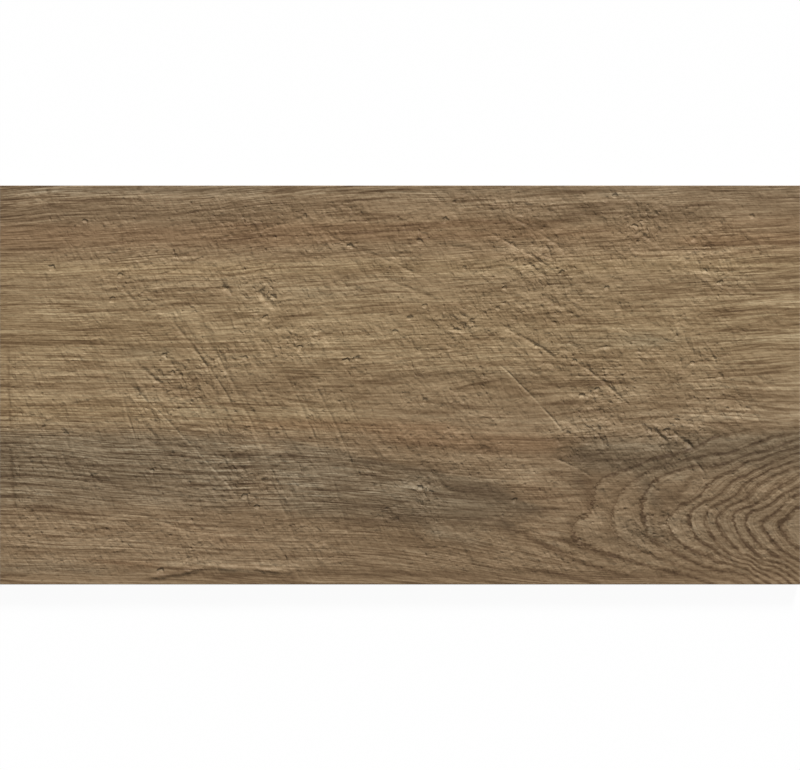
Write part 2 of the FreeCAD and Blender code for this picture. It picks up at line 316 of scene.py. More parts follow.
SCRATCH_SETS = [[Scratch(*row) for row in rows] for rows in [[
    ((118, 373), (252, 513), 1.2, 0.2, 0.24, -3), ((192, 311), (302, 556), 1.7, 0.22, 0.04, -8),
    ((295, 376), (355, 561), 1.5, 0.2, 0.03, -4), ((492, 358), (572, 443), 1.2, 0.3, 0.28, -3),
    ((572, 358), (634, 410), 1.7, 0.55, 0.05, -2), ((480, 228), (562, 276), 1.5, 0.3, 0.05, -2),
    # The two upright grooves near the left end, on this line and the next, are darkened with painted shade.
    ((670, 428), (697, 452), 2.2, 0.85, 0.15), ((8, 340), (11, 440), 1.6, 0.28, -0.24, 1),
    ((10, 445), (16, 518), 1.8, 0.4, -0.3, 1), ((350, 246), (440, 286), 1.7, 0.2, 0, -2),
    ((240, 236), (310, 216), 1.6, 0.2, 0.08), ((254, 289), (278, 310), 2.8, 0.6, 0.08),
    ((709, 348), (718, 367), 1.4, 0.4),
], [
    ((120, 386), (138, 446), 1.4, 0.28, 0.06, 1), ((168, 316), (237, 411), 1.6, 0.44, 0, -2),
    ((280, 366), (325, 466), 1.4, 0.26, 0.05, -3), ((492, 208), (580, 261), 1.5, 0.24, 0, -3),
    ((550, 456), (597, 480), 1.4, 0.3, 0.18, -1), ((135, 513), (200, 536), 1.5, 0.2, 0.14),
    ((375, 276), (440, 301), 1.6, 0.2, 0, -1), ((496, 322), (562, 362), 1.7, 0.46, 0, -1),
    ((115, 281), (150, 321), 1.5, 0.2, 0, -1), ((645, 236), (668, 253), 1.5, 0.28),
    ((45, 271), (50, 311), 1.4, 0.2), ((653, 428), (670, 445), 2, 0.85, 0.05),
], [
    ((310, 376), (360, 486), 1.4, 0.24, 0, -3), ((265, 466), (300, 552), 1.5, 0.28, 0, -1),
    ((140, 366), (168, 390), 1.7, 0.44), ((435, 243), (480, 251), 1.5, 0.24),
    ((320, 231), (360, 251), 1.5, 0.24), ((62, 426), (70, 451), 1.5, 0.28),
    ((100, 258), (125, 248), 1.5, 0.2, 0.05), ((590, 351), (612, 346), 1.5, 0.24, 0.08),
    ((221, 283), (233, 295), 2.2, 0.5, 0.1), ((146, 578), (206, 566), 2.4, -0.6, 0.1, 2),
    ((204, 567), (300, 572), 2.4, -0.4, 0.06), ((690, 455), (706, 474), 1.5, 0.4, 0.15),
], [
    # the boldest dark lines of the grain, which are only printed
    ((-45, 342), (130, 344), 1.6, 0, -0.78), ((110, 344), (250, 347), 1.4, 0, -0.42),
    ((-30, 337), (62, 335), 1.2, 0, -0.5), ((60, 331), (125, 327), 1, 0, -0.44),
    ((0, 225), (85, 227), 1.3, 0, -0.49), ((0, 250), (62, 248), 1.6, 0, -0.49),
    ((90, 220), (180, 218), 1.4, 0, -0.46), ((180, 217), (270, 214), 1.3, 0, -0.39),
    ((60, 298), (130, 300), 1.6, 0, -0.44), ((140, 297), (235, 296), 1.5, 0, -0.39),
    ((30, 385), (64, 387), 2.2, 0, -0.49), ((682, 245), (850, 242), 2.1, 0, -0.6),
    ((726, 263), (850, 259), 1.8, 0, -0.56), ((752, 280), (850, 273), 1.8, 0, -0.49),
    ((662, 291), (840, 289), 2.2, 0, -0.56), ((705, 311), (850, 308), 1.8, 0, -0.6),
    ((506, 522), (650, 580), 2, 0, -0.63, 9), ((540, 569), (610, 588), 1.6, 0, -0.49),
    ((720, 328), (800, 326), 1.2, 0, -0.39), ((725, 335), (800, 332), 1.2, 0, -0.39),
    ((630, 287), (700, 289), 1.6, 0, -0.39), ((530, 384), (610, 385), 1.7, 0, -0.44),
    ((655, 210), (725, 202), 1.4, 0, -0.49), ((555, 216), (625, 208), 1.5, 0, -0.44),
]]]
# How many half widths a scratch reaches aside, the share of that where it starts to fade, and the shares
# of its length over which an end fades and that it owns past its ends.
SCRATCH_REACH = 5.0
SCRATCH_FULL = 0.6
SCRATCH_END = 0.22
SCRATCH_PAST = 0.05

# Chips: places where the saw tore the wood, each its middle, half its length and its depth in millimetres.
Chip = namedtuple("Chip", "middle reach depth")

CHIPS = [Chip(*row) for row in [
    ((85, 221), 4, 0.16), ((52, 268), 5, 0.18), ((120, 275), 4, 0.16), ((112, 300), 4.5, 0.14),
    ((165, 355), 5, 0.22), ((173, 373), 4, 0.18), ((175, 256), 4, 0.12), ((225, 288), 4.5, 0.18),
    ((262, 292), 4.5, 0.18), ((273, 297), 5, 0.22), ((265, 318), 4.5, 0.16), ((245, 358), 4, 0.14),
    ((300, 348), 4.5, 0.16), ((346, 361), 5, 0.2), ((357, 358), 3.5, 0.14), ((305, 216), 4, 0.14),
    ((350, 246), 4.5, 0.18), ((420, 241), 4, 0.14), ((446, 220), 5, 0.18), ((465, 268), 3.5, 0.14),
    ((410, 318), 5, 0.2), ((457, 330), 5.5, 0.22), ((472, 323), 4, 0.16), ((425, 306), 4, 0.14),
    ((505, 288), 4, 0.16), ((562, 273), 5, 0.22), ((607, 288), 4, 0.14), ((537, 346), 4, 0.16),
    ((575, 361), 4, 0.16), ((582, 396), 5, 0.2), ((597, 389), 4, 0.18), ((620, 401), 4, 0.14),
    ((650, 430), 4, 0.16), ((667, 431), 6, 0.26), ((687, 443), 5, 0.22), ((677, 420), 4, 0.14),
    ((705, 271), 4, 0.14), ((720, 283), 4.5, 0.16), ((635, 226), 4.5, 0.16), ((645, 236), 4, 0.14),
    ((615, 196), 4, 0.14), ((752, 216), 4, 0.12), ((715, 358), 4, 0.14), ((720, 376), 4.5, 0.14),
    ((692, 363), 3.5, 0.12), ((425, 401), 4, 0.12), ((420, 488), 5, 0.16), ((431, 492), 3.5, 0.14),
    ((515, 500), 4.5, 0.2), ((568, 433), 4.5, 0.16), ((152, 471), 4, 0.16), ((245, 496), 5, 0.18),
    ((257, 507), 4, 0.16), ((160, 571), 5, 0.18), ((66, 433), 4.5, 0.16), ((395, 332), 4, 0.12),
    ((498, 308), 4, 0.14),
]]
# How far a chip is followed, and from where it fades, in shares of its reach.
CHIP_REACH = 2.2
CHIP_FULL = 1.4

# Where the face is roughest: the middle, the radius and the extra roughness of each place.
Rough = namedtuple("Rough", "middle radius extra")

ROUGH_PLACES = [Rough(*row) for row in [
    ((540, 256), 22, 0.55), ((520, 305), 38, 0.35), ((462, 324), 22, 0.4), ((262, 292), 20, 0.45),
    ((195, 376), 30, 0.48), ((150, 405), 30, 0.3), ((300, 348), 24, 0.55), ((255, 340), 22, 0.25),
    ((560, 346), 28, 0.4), ((602, 382), 22, 0.5), ((605, 410), 24, 0.35), ((665, 436), 20, 0.5),
    ((637, 228), 24, 0.3), ((245, 492), 24, 0.45), ((645, 530), 20, 0.35), ((200, 560), 20, 0.3),
    ((335, 440), 24, 0.25), ((708, 362), 22, 0.3), ((575, 438), 22, 0.4), ((115, 270), 22, 0.2),
    ((425, 490), 14, 0.3),
    # the calmest places
    ((10, 200), 34, -0.3), ((10, 250), 34, -0.3), ((20, 290), 26, -0.2), ((70, 240), 48, -0.13),
    ((790, 205), 34, -0.3), ((785, 255), 38, -0.3), ((785, 310), 38, -0.3), ((785, 365), 38, -0.3),
    ((785, 415), 30, -0.2), ((385, 405), 26, -0.25), ((20, 335), 36, -0.2), ((375, 560), 34, -0.2),
    ((400, 199), 26, -0.15), ((15, 555), 26, -0.15),
]]
# The roughness elsewhere, the least there is, and how it grows away from the tile's ends and sides.
ROUGHNESS = 0.42
LEAST_ROUGHNESS = 0.08
ROUGH_MARGIN = Area((-6, 16), (-6, 22))

# The strokes of the saw: how steeply they fall on the left, how much of that is lost past a bend, where the
# bend is and how gentle, and the pixels to a unit across them.
STROKE_FALL = 1.7
STROKE_LOSS = 0.95
STROKE_BEND = 370
STROKE_BEND_WIDTH = 60.0
STROKE_UNIT = 1.6
# Where the strokes are fainter, on the left of the tile, and by what share.
FAINT_UPPER = Area((360, 230), (345, 300))
FAINT_LOWER = Area((330, 250), (500, 535))
FAINT_END = (115, 40)
FAINTNESS = 0.7

# The relief that the mesh carries: depths in millimetres, its share of the depths of scratches and chips,
# how they spread, and its flat margin.
RIPPLE_DEPTH = 0.34
HOLLOW_DEPTH = 0.18
DIMPLE_DEPTH = 0.20
TORN_DEPTH = 0.35
SCRATCH_SHARE = 0.4
SCRATCH_SPREAD = 1.6
CHIP_SHARE = 0.8
CHIP_STEEPNESS = 1.6
FLAT_MARGIN = Area((1, 9), (1, 9))


def beside(line, u, v):
    """How far along a straight line a point is and how far to its right, and the length of the line."""
    run = np.subtract(line.end, line.start)
    length = np.hypot(*run)
    ahead = ((u - line.start[0]) * run[0] + (v - line.start[1]) * run[1]) / length
    aside = ((v - line.start[1]) * run[0] - (u - line.start[0]) * run[1]) / length
    return ahead, aside, length


def from_edges(u, v):
    """How far a point is from the nearer end of the tile and from its nearer side."""
    return np.minimum(u - PRINT_LEFT, PRINT_RIGHT - u), np.minimum(v - PRINT_TOP, PRINT_BOTTOM - v)


def streaks(u, v):
    """The tone, the warmth, the gold and the strength of the thin lines that the streaks add up to."""
    sums = np.zeros((4, len(u)))
    strayed = v + STREAK_SWELL * hills(u / 46, v / 9, 11) + STREAK_RIPPLE * hills(u / 17, v / 4, 12)
    for streak in STREAKS:
        ahead, aside, length = beside(streak, u, strayed)
        past = np.maximum(np.abs(ahead - length / 2) - length / 2, 0.0)
        fade = STREAK_FADE + STREAK_FADE_SHARE * length
        weight = bell(aside / streak.half_width) * bell(past / fade)
        sums += np.outer((streak.tone, streak.warmth, streak.gold, streak.lined), weight)
    tone, warmth, gold, lined = sums
    return tone, np.clip(warmth, -1.0, 1.0), np.clip(gold, 0.0, 1.0), lined + 1.0


def grain(u, v):
    """The line of the grain that passes through a point, as the v where it would start."""
    climb = CLIMB * (u - PHOTO_WIDTH / 2) * smooth_step(v, *CLIMB_DOWN)
    sag = SAG * inside(SAG_AREA, u, v)
    droop = DROOP * smooth_step(u, *DROOP_ALONG) * bell((v - DROOP_LEVEL) / DROOP_REACH)
    plunge = PLUNGE * smooth_step(u, *PLUNGE_ALONG) * bell((v - PLUNGE_LEVEL) / PLUNGE_REACH)
    waver = GRAIN_SWELL * hills(u / 170, v / 60, 1) + GRAIN_RIPPLE * hills(u / 55, v / 16, 2)
    return v + climb - sag - droop - plunge + waver


def bend(gap_squared):
    """How a thin sheet bends away from a point that holds it."""
    return gap_squared * np.log(gap_squared + 1e-9)


def ring_number(u, v):
    """The number of the growth ring through a point, from a thin sheet bent through the traced rings."""
    held = [(point, number) for number, ring in enumerate(RINGS) for point in ring]
    held += [(point, -1.0) for point in RING_OUTSIDE]
    points = np.array([point for point, number in held]) / SHEET_UNIT
    numbers = np.array([number for point, number in held])
    count = len(held)
    gaps = ((points[:, None] - points[None]) ** 2).sum(axis=2)
    plane = np.column_stack([np.ones(count), points])
    system = np.block([[bend(gaps) + SHEET_SLIP * np.eye(count), plane], [plane.T, np.zeros((3, 3))]])
    weights = np.linalg.solve(system, np.concatenate([numbers, np.zeros(3)]))
    shake = LEAST_SHAKE + MORE_SHAKE * smooth_step(v, *SHAKE_BELOW) * smooth_step(v, *SHAKE_ABOVE)
    u = (u + shake * (1.5 * hills(u / 22, v / 18, 3) + 0.8 * hills(u / 8, v / 7, 4))) / SHEET_UNIT
    v = (v + shake * hills(u * SHEET_UNIT / 20, v / 16, 5)) / SHEET_UNIT
    number = weights[-3] + weights[-2] * u + weights[-1] * v
    for (point_u, point_v), weight in zip(points, weights):
        number += weight * bend((u - point_u) ** 2 + (v - point_v) ** 2)
    return number


def scratch_set(u, v, scratches):
    """A point's distance from a set's nearest scratch, in half widths, and the depth and the paleness or
    painted shade there.
    """
    nearest = np.full_like(u, SCRATCH_REACH)
    depth = np.zeros_like(u)
    pale = np.zeros_like(u)
    for scratch in scratches:
        ahead, aside, length = beside(scratch, u, v)
        share = ahead / length
        aside = (aside - 4.0 * scratch.bow * share * (1.0 - share)) / scratch.half_width
        shown = smooth_step(0.5 - np.abs(share - 0.5), 0.0, SCRATCH_END)
        shown = shown * smooth_step(np.abs(aside), SCRATCH_REACH, SCRATCH_FULL * SCRATCH_REACH)
        reached = (share > -SCRATCH_PAST) & (share < 1.0 + SCRATCH_PAST)
        nearer = reached & (np.abs(aside) < np.abs(nearest))
        nearest = np.where(nearer, aside, nearest)
        depth = np.where(nearer, shown * scratch.depth, depth)
        pale = np.where(nearer, shown * scratch.pale, pale)
    return nearest, depth, pale


def chip_marks(u, v):
    """A point's place in the nearest chip, in shares of the chip's reach, and that chip's depth."""
    inside_u = np.full_like(u, CHIP_REACH)
    inside_v = np.full_like(u, CHIP_REACH)
    depth = np.zeros_like(u)
    for chip in CHIPS:
        off_u = (u - chip.middle[0]) / chip.reach
        off_v = (v - chip.middle[1]) / chip.reach
        away = np.hypot(off_u, off_v)
        nearer = away < np.hypot(inside_u, inside_v)
        inside_u = np.where(nearer, off_u, inside_u)
        inside_v = np.where(nearer, off_v, inside_v)
        depth = np.where(nearer, chip.depth * smooth_step(away, CHIP_REACH, CHIP_FULL), depth)
    return inside_u, inside_v, depth


def roughness_of(u, v):
    """How strongly the face is torn at a point; it dies away towards the tile's edges."""
    rough = ROUGHNESS + 0.12 * hills(u / 60, v / 45, 21) + 0.24 * hills(u / 24, v / 16, 22)
    for place in ROUGH_PLACES:
        away = np.hypot(u - place.middle[0], v - place.middle[1]) / place.radius
        rough = rough + place.extra * bell(away)
    return np.maximum(rough, LEAST_ROUGHNESS) * inside(ROUGH_MARGIN, *from_edges(u, v))


def stroke(u, v):
    """How far across the strokes of the saw a point is. They run from upper left to lower right."""
    past_bend = STROKE_BEND_WIDTH * np.logaddexp(0.0, (u - STROKE_BEND) / STROKE_BEND_WIDTH)
    return (v - STROKE_FALL * u + STROKE_LOSS * past_bend) / STROKE_UNIT


def sawn_share(u, v):
    """How plainly the strokes of the saw show at a point."""
    faint = [inside(FAINT_UPPER, u, v), inside(FAINT_LOWER, u, v), smooth_step(u, *FAINT_END)]
    return 1.0 - FAINTNESS * np.maximum.reduce(faint)


def relief(u, v, marks):
    """The height of the face below its highest points, in metres."""
    rough = marks["rough"]
    sawn = marks["sawn"]
    ripple = RIPPLE_DEPTH * sawn * hills(marks["stroke"] / 10, v / 40, 31)
    ripple = ripple + HOLLOW_DEPTH * hills(u / 14, v / 11, 32) + DIMPLE_DEPTH * hills(u / 7, v / 8, 34)
    torn = smooth_step(hills(marks["stroke"] / 6, (u + v) / 20, 33), 0.0, 0.9)
    height = ripple * (0.4 + 0.6 * rough) - TORN_DEPTH * torn * rough * sawn
    for number in range(len(SCRATCH_SETS)):
        aside = marks[f"scratch_aside_{number}"]
        height = height - SCRATCH_SHARE * marks[f"scratch_depth_{number}"] * bell(aside / SCRATCH_SPREAD)
    from_chip = np.hypot(marks["chip_u"], marks["chip_v"])
    height = height - CHIP_SHARE * marks["chip_depth"] * np.exp(-from_chip ** 2 * CHIP_STEEPNESS)
    return (height - height.max()) * inside(FLAT_MARGIN, *from_edges(u, v)) * MM


# The mesh: the back and its cells as they are in the frame, plain ground edges and a fine grid for the
# face. Its finishes by their order, and the angle in degrees past which an edge is sharp.
FACE_FINISH, EDGE_FINISH, BACK_FINISH = range(3)
SHARP_ANGLE = 35.0

# The bake map: its margin and breadth, and the lower side and height of the bands of the face, the back and
# the four edges.
MAP_LEFT = 0.004
MAP_BREADTH = 0.992
FACE_BAND = (0.25, 0.745)
BACK_BAND = (0.06, 0.18)
EDGE_BANDS = [(0.002 + 0.013 * edge, 0.010) for edge in range(4)]


def copy_back(shape):
    """Adds the faces of the frame's tile that lie below the ground edge."""
    cad = CAD_TILE.data
    corners = [shape.verts.new(corner.co) for corner in cad.vertices]
    for face in cad.polygons:
        if all(cad.vertices[index].co.z < EDGE_BOTTOM + NEAR for index in face.vertices):
            shape.faces.new([corners[index] for index in face.vertices]).material_index = BACK_FINISH
    loose = [corner for corner in shape.verts if not corner.link_faces]
    bmesh.ops.delete(shape, geom=loose, context="VERTS")


def add_face(shape):
    """Adds the flat grid of the face, and returns its outline, anticlockwise from the lowest corner."""
    across = np.linspace(LOW.y + FACE_ARRIS, HIGH.y - FACE_ARRIS, ROWS + 1)
    along = np.linspace(LOW.x + FACE_ARRIS, HIGH.x - FACE_ARRIS, COLUMNS + 1)
    grid = [[shape.verts.new((x, y, FACE_TOP)) for x in along] for y in across]
    for near, far in zip(grid, grid[1:]):
        for column in range(COLUMNS):
            shape.faces.new((near[column], near[column + 1], far[column + 1], far[column]))
    front = grid[0][:-1]
    right = [row[-1] for row in grid[:-1]]
    rear = grid[-1][:0:-1]
    left = [row[0] for row in grid[:0:-1]]
    return front, right, rear, left


def add_edges(shape, sides):
    """Adds the bevel round the face and one plain side below it on each edge."""
    outline = [corner for side in sides for corner in side]
    ring = []
    for corner in outline:
        x, y = corner.co.xy
        out_x = FACE_ARRIS * (abs(abs(x) + FACE_ARRIS - HIGH.x) < NEAR)
        out_y = FACE_ARRIS * (abs(abs(y) + FACE_ARRIS - HIGH.y) < NEAR)
        place = (x + math.copysign(out_x, x), y + math.copysign(out_y, y), EDGE_TOP)
        ring.append(shape.verts.new(place))
    count = len(ring)
    for index in range(count):
        following = (index + 1) % count
        shape.faces.new((outline[following], outline[index], ring[index], ring[following]))
    start = 0
    for side in sides:
        upper = [ring[(start + step) % count] for step in range(len(side) + 1)]
        feet = [shape.verts.new((end.co.x, end.co.y, EDGE_BOTTOM)) for end in (upper[0], upper[-1])]
        shape.faces.new([feet[0], feet[1], *reversed(upper)]).material_index = EDGE_FINISH
        start += len(side)


def photo_place(mesh):
    """Each corner's place in the photograph's pixels."""
    corners = np.empty(len(mesh.vertices) * 3)
    mesh.vertices.foreach_get("co", corners)
    corners = corners.reshape(-1, 3)
    u = PRINT_LEFT + (corners[:, 0] - LOW.x) / LENGTH * (PRINT_RIGHT - PRINT_LEFT)
    v = PRINT_TOP + (HIGH.y - corners[:, 1]) / WIDTH * (PRINT_BOTTOM - PRINT_TOP)
    return corners, np.clip(u, PRINT_LEFT, PRINT_RIGHT), np.clip(v, PRINT_TOP, PRINT_BOTTOM)


def figure_marks(u, v):
    """Each corner's ring, the half width and strength of its line, its flank and where the figure shows."""
    ring = ring_number(u, v)
    slope = np.hypot(ring_number(u + 1, v) - ring, ring_number(u, v + 1) - ring)
    below = smooth_step(v, *LOWER_DOWN)
    line = np.clip(RING_LINE * slope, *RING_LINE_SHARES) * (1.0 + LOWER_WIDER * below)
    flank = inside(FLANK, u, v)
    on_flank = np.interp(ring, range(len(RINGS)), FLANK_STRENGTHS)
    at_tip = np.interp(ring, range(len(RINGS)), TIP_STRENGTHS)
    strength = (on_flank * flank + at_tip * (1.0 - flank)) * (1.0 + LOWER_DARKER * below)
    figure = smooth_step(ring, *FIGURE_RINGS) * inside(FIGURE, u, v)
    return {"ring": ring, "ring_line": line, "ring_strength": strength, "flank": flank, "figure": figure}


def print_marks(u, v):
    """What the print and the relief need to know at each corner, by name."""
    marks = {"along": u, "across": grain(u, v), "down": v, "rough": roughness_of(u, v)}
    marks["stroke"] = stroke(u, v)
    marks["sawn"] = sawn_share(u, v)
    marks["tone"], marks["warmth"], marks["gold"], marks["lined"] = streaks(u, v)
    marks.update(figure_marks(u, v))
    for number, scratches in enumerate(SCRATCH_SETS):
        for name, values in zip(("aside", "depth", "pale"), scratch_set(u, v, scratches)):
            marks[f"scratch_{name}_{number}"] = values
    marks["chip_u"], marks["chip_v"], marks["chip_depth"] = chip_marks(u, v)
    return marks


def bake_map(mesh):
    """Lays the piece out for baking: the face over most of the map, then the back, then the four edges."""
    layer = mesh.uv_layers.new(name="OFBake")
    bands = {FACE_FINISH: FACE_BAND, BACK_FINISH: BACK_BAND}
    for face in mesh.polygons:
        at_end = abs(face.normal.x) > 0.5
        far = face.normal.x + face.normal.y > 0
        low, height = bands.get(face.material_index, EDGE_BANDS[2 * at_end + far])
        for loop in face.loop_indices:
            x, y, z = mesh.vertices[mesh.loops[loop].vertex_index].co
            along = (x - LOW.x) / LENGTH
            up = (y - LOW.y) / WIDTH
            if face.material_index == EDGE_FINISH:
                along = up if at_end else along
                up = z / HIGH.z
            layer.data[loop].uv = (MAP_LEFT + MAP_BREADTH * along, low + height * up)


def build_tile():
    """The finished tile, whose corners carry the values that its print is made from."""
    shape = bmesh.new()
    copy_back(shape)
    add_edges(shape, add_face(shape))
    bmesh.ops.remove_doubles(shape, verts=shape.verts, dist=NEAR)
    bmesh.ops.recalc_face_normals(shape, faces=shape.faces)
    mesh = bpy.data.meshes.new("plank_tile_looks")
    shape.to_mesh(mesh)
    shape.free()
    corners, u, v = photo_place(mesh)
    marks = print_marks(u, v)
    on_face = corners[:, 2] > FACE_TOP - NEAR
    corners[on_face, 2] += relief(u, v, marks)[on_face]
    mesh.vertices.foreach_set("co", corners.ravel())
    for name, values in marks.items():
        mesh.attributes.new(name, "FLOAT", "POINT").data.foreach_set("value", values.astype(np.float32))
    mesh.polygons.foreach_set("use_smooth", np.ones(len(mesh.polygons), bool))
    mesh.set_sharp_from_angle(angle=math.radians(SHARP_ANGLE))
    bake_map(mesh)
    mesh.update()
    tile = bpy.data.objects.new("plank_tile_finished", mesh)
    bpy.context.scene.collection.objects.link(tile)
    return tile


# Materials. A field is a value that varies over a surface, and arithmetic on it adds nodes.

class Field:
    def __init__(self, tree, socket):
        self.tree = tree
        self.socket = socket

    def math(self, operation, *others):
        node = self.tree.nodes.new("ShaderNodeMath")
        node.operation = operation
        for socket, value in zip(node.inputs, (self, *others)):
            feed(self.tree, socket, value)
        return Field(self.tree, node.outputs[0])

    def __add__(self, other):
        return self.math("ADD", other)

    def __sub__(self, other):
        return self.math("SUBTRACT", other)

    def __mul__(self, other):
        return self.math("MULTIPLY", other)

    def __truediv__(self, other):
        return self.math("DIVIDE", other)

    def squared(self):
        return self.math("MULTIPLY", self)

    def bell(self):
        """1 where the field is 0, falling away to both sides within about two units."""
        return (self.squared() * -1.0).math("EXPONENT")

    def size(self):
        return self.math("ABSOLUTE")

    def peaked(self):
        """The square with the sign kept: flat near 0, with few but bold heights and depths."""
        return self * self.size()

    def pitted(self):
        """Flat where the field is above 0, and pits where it falls below."""
        hollow = self.math("MINIMUM", 0.0)
        return hollow * hollow.size()

    def step(self, low, high):
        """0 before low, 1 past high and an S curve between them."""
        node = self.tree.nodes.new("ShaderNodeMapRange")
        node.interpolation_type = "SMOOTHSTEP"
        for socket, value in zip(node.inputs, (self, low, high, 0.0, 1.0)):
            feed(self.tree, socket, value)
        return Field(self.tree, node.outputs[0])


def feed(tree, socket, value):
    """Links a field to a socket, or sets a plain number there."""
    if isinstance(value, Field):
        tree.links.new(value.socket, socket)
    else:
        socket.default_value = value


def read(tree, name):
    """A value that the mesh's corners carry."""
    node = tree.nodes.new("ShaderNodeAttribute")
    node.attribute_name = name
    return Field(tree, node.outputs["Fac"])


def noise(along, across, detail=1.0):
    """Noise of about -1 to 1, with about one hill or hollow to a unit each way."""
    tree = along.tree
    place = tree.nodes.new("ShaderNodeCombineXYZ")
    feed(tree, place.inputs[0], along)
    feed(tree, place.inputs[1], across)
    node = tree.nodes.new("ShaderNodeTexNoise")
    node.noise_dimensions = "2D"
    tree.links.new(place.outputs[0], node.inputs["Vector"])
    node.inputs["Scale"].default_value = 1.0
    node.inputs["Detail"].default_value = detail
    return (Field(tree, node.outputs[0]) - 0.5) * 2.0


def new_material(name):
    """A new material, its nodes and the sockets of its shader."""
    material = bpy.data.materials.new(name)
    material.use_nodes = True
    tree = material.node_tree
    return material, tree, tree.nodes["Principled BSDF"].inputs


def ramp(field, stops):
    """A colour for each value of a field, from stops of a value and a colour."""
    low = stops[0][0]
    high = stops[-1][0]
    node = field.tree.nodes.new("ShaderNodeValToRGB")
    feed(field.tree, node.inputs[0], (field - low) / (high - low))
    elements = node.color_ramp.elements
    while len(elements) < len(stops):
        elements.new(0.5)
    for element, (value, colour) in zip(elements, stops):
        element.position = (value - low) / (high - low)
        element.color = (*colour, 1.0)
    return node.outputs[0]


def tinted(tree, colour, tint, share):
    """A colour multiplied by a tint, as far as a field says."""
    node = tree.nodes.new("ShaderNodeMix")
    node.data_type = "RGBA"
    node.blend_type = "MULTIPLY"
    feed(tree, node.inputs[0], share)
    tree.links.new(colour, node.inputs[6])
    node.inputs[7].default_value = (*tint, 1.0)
    return node.outputs[2]


def bump(tree, shader, height):
    """Bends the shading by a height in millimetres."""
    node = tree.nodes.new("ShaderNodeBump")
    node.inputs["Strength"].default_value = 1.0
    node.inputs["Distance"].default_value = MM
    tree.links.new(height.socket, node.inputs["Height"])
    tree.links.new(node.outputs[0], shader["Normal"])


# The browns of the print by tone, from its deepest pores to its palest fibres, the tints that change them,
# and how rough and how shiny the face is.
BROWNS = [
    (-1.20, (0.070, 0.038, 0.016)),
    (-0.60, (0.121, 0.073, 0.035)),
    (-0.20, (0.174, 0.112, 0.058)),
    (0.20, (0.252, 0.173, 0.098)),
    (0.60, (0.364, 0.268, 0.164)),
    (0.90, (0.480, 0.372, 0.243)),
]
GREY_TINT = (0.895, 0.965, 1.040)
WARM_TINT = (1.03, 0.96, 0.92)
GOLD_TINT = (1.02, 1.0, 0.880)
FACE_ROUGHNESS = 0.62
FACE_SHEEN = 0.25

# The finest relief: how far torn places lean to the right on their way down, how deep the bump makes pits,
# grooves and chips, how far painted shade darkens the pits, and how far the chips are printed paler.
LEAN = 0.28
PIT_DEPTH = 2.5
# Painted shade that darkens the tone inside the pits.
PIT_PAINTED_SHADE = 1.6
GROOVE_DEPTH = 1.2
CHIP_DEPTH = 6.4
# The chips are printed paler, as fresh torn wood and as a painted highlight for their lit lower walls.
CHIP_PALENESS_AND_HIGHLIGHT = 1.1


def wood_tone(tree):
    """The print's tone: streaks, grain lines of every width, pores, and the rings of the figure.

    Each noise is divided by the length and the width of its hills, shifted so that no two are alike, and
    multiplied by how strongly it shows.
    """
    along = read(tree, "along")
    across = read(tree, "across")
    broad = noise(along / 210, across / 11) * 0.28
    medium = noise(along / 95, across / 4.6 + 31.7) * 0.15
    fine = noise(along / 90, across / 1.8 + 7.3) * 0.31
    hair = noise(along / 30, across + 3.1) * 0.33
    veins = noise(along / 190, across / 7 + 91.3, 0.0).size().step(0.14, 0.03) * 0.44
    threads = noise(along / 120, across / 2.8 + 12.9, 0.0).size().step(0.23, 0.04) * 0.46
    breaks = noise(along / 70, across / 3 + 63.1).step(-0.35, 0.25)
    pores = noise(along / 9, across / 1.1 + 55.5, 0.0).step(0.15, 0.50) * 0.26
    thin_lines = fine + hair - (veins + threads) * breaks - pores + 0.14
    lines = broad + medium + thin_lines * read(tree, "lined")

    ring = read(tree, "ring")
    down = read(tree, "down")
    frayed = ring + noise(along / 6, down / 3) * 0.18
    after_line = frayed.math("FRACT")
    from_line = ((frayed + 0.5).math("FRACT") - 0.5).size()
    dark = (from_line / read(tree, "ring_line")).step(1.0, 0.1) * read(tree, "ring_strength")
    dark = dark * (noise(along / 11, down / 11) + 0.95)
    flank = read(tree, "flank")
    fibres = noise(along / 16, down / 1.4) * (flank * -0.6 + 1.0)
    fibres = fibres + noise(along / 26, ring * 5.5) * flank * 1.2
    thin = noise(along / 60, ring * 3.2, 0.0).size().step(0.20, 0.02) * ring.step(1.4, 2.6)
    rings = (after_line * -0.44 + 0.38) - dark * 0.95 + fibres * 0.32 - thin * 0.26

    share = read(tree, "figure")
    return read(tree, "tone") + lines * (share * -0.75 + 1.0) + rings * share


def torn_place(tree):
    """A point's place across and along the lean of the torn places."""
    along = read(tree, "along")
    down = read(tree, "down")
    return along - down * LEAN, along * LEAN + down


def pits(tree):
    """Small torn pits, from 0 to about -0.2."""
    aslant, downhill = torn_place(tree)
    spread = noise(aslant / 4.4, downhill / 4.8 + 20, 0.0)
    return (spread + 0.35).pitted() * (read(tree, "rough") + 0.1)


def chips(tree):
    """The chips, from 0 to their depth in millimetres."""
    along = read(tree, "along")
    down = read(tree, "down")
    chip_u = read(tree, "chip_u") + noise(along / 5, down / 5 + 5, 0.0) * 0.3
    chip_v = read(tree, "chip_v") + noise(along / 5 + 9, down / 5, 0.0) * 0.3
    from_chip = (chip_u * 1.35).squared() + (chip_v * 1.6).squared()
    return (from_chip.squared() * -2.2).math("EXPONENT") * read(tree, "chip_depth")


